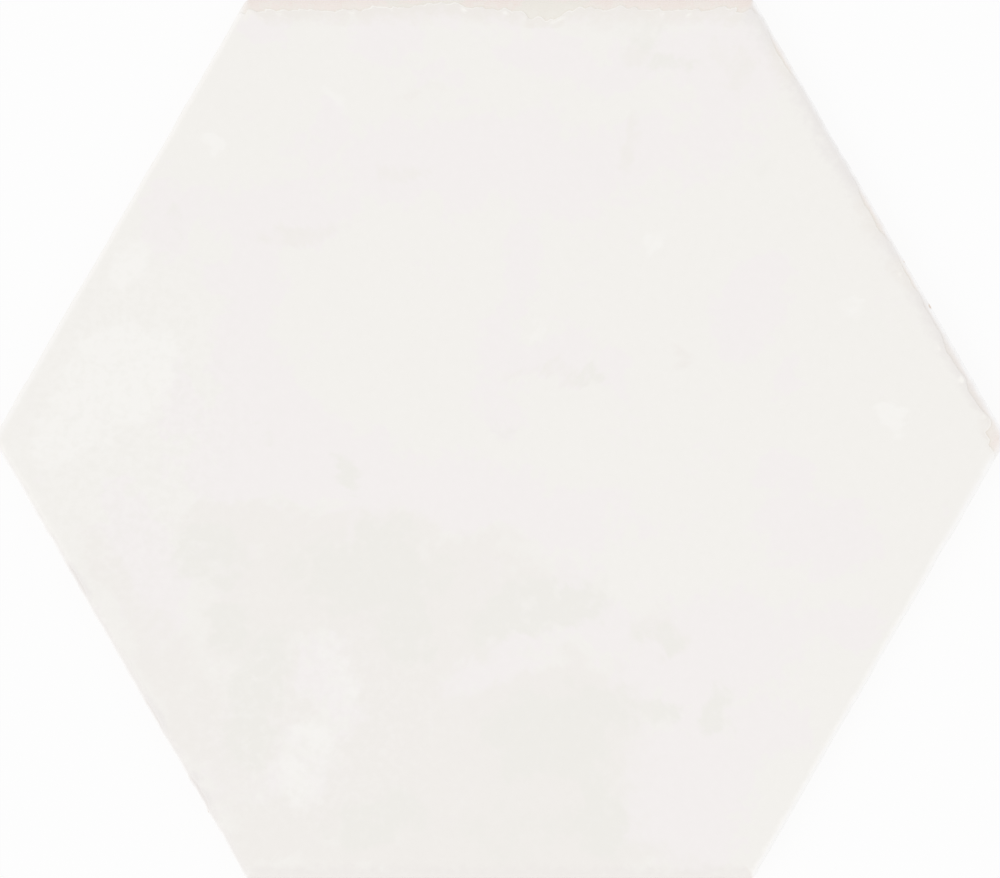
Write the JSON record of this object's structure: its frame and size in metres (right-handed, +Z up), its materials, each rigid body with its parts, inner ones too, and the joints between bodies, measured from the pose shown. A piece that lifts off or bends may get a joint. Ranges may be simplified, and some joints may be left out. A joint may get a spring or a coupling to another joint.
{
  "type": "hexagon floor tile",
  "caption": "Flat hexagonal floor tile with a satin off-white glaze, a cushioned arris partly of bare clay, and a ribbed honeycomb back.",
  "frame": {"origin": "middle of the back, on the plane of its ribs", "axes": "+Z up out of the glazed face, +X towards a corner, +Y out of the side with the wide bare arris"},
  "size_m": [0.265, 0.23, 0.009],
  "materials": {
    "glazed_stoneware": "satin"
  },
  "bodies": {
    "root": {"hexagon_tile": "glazed_stoneware"}
  },
  "joints": []
}
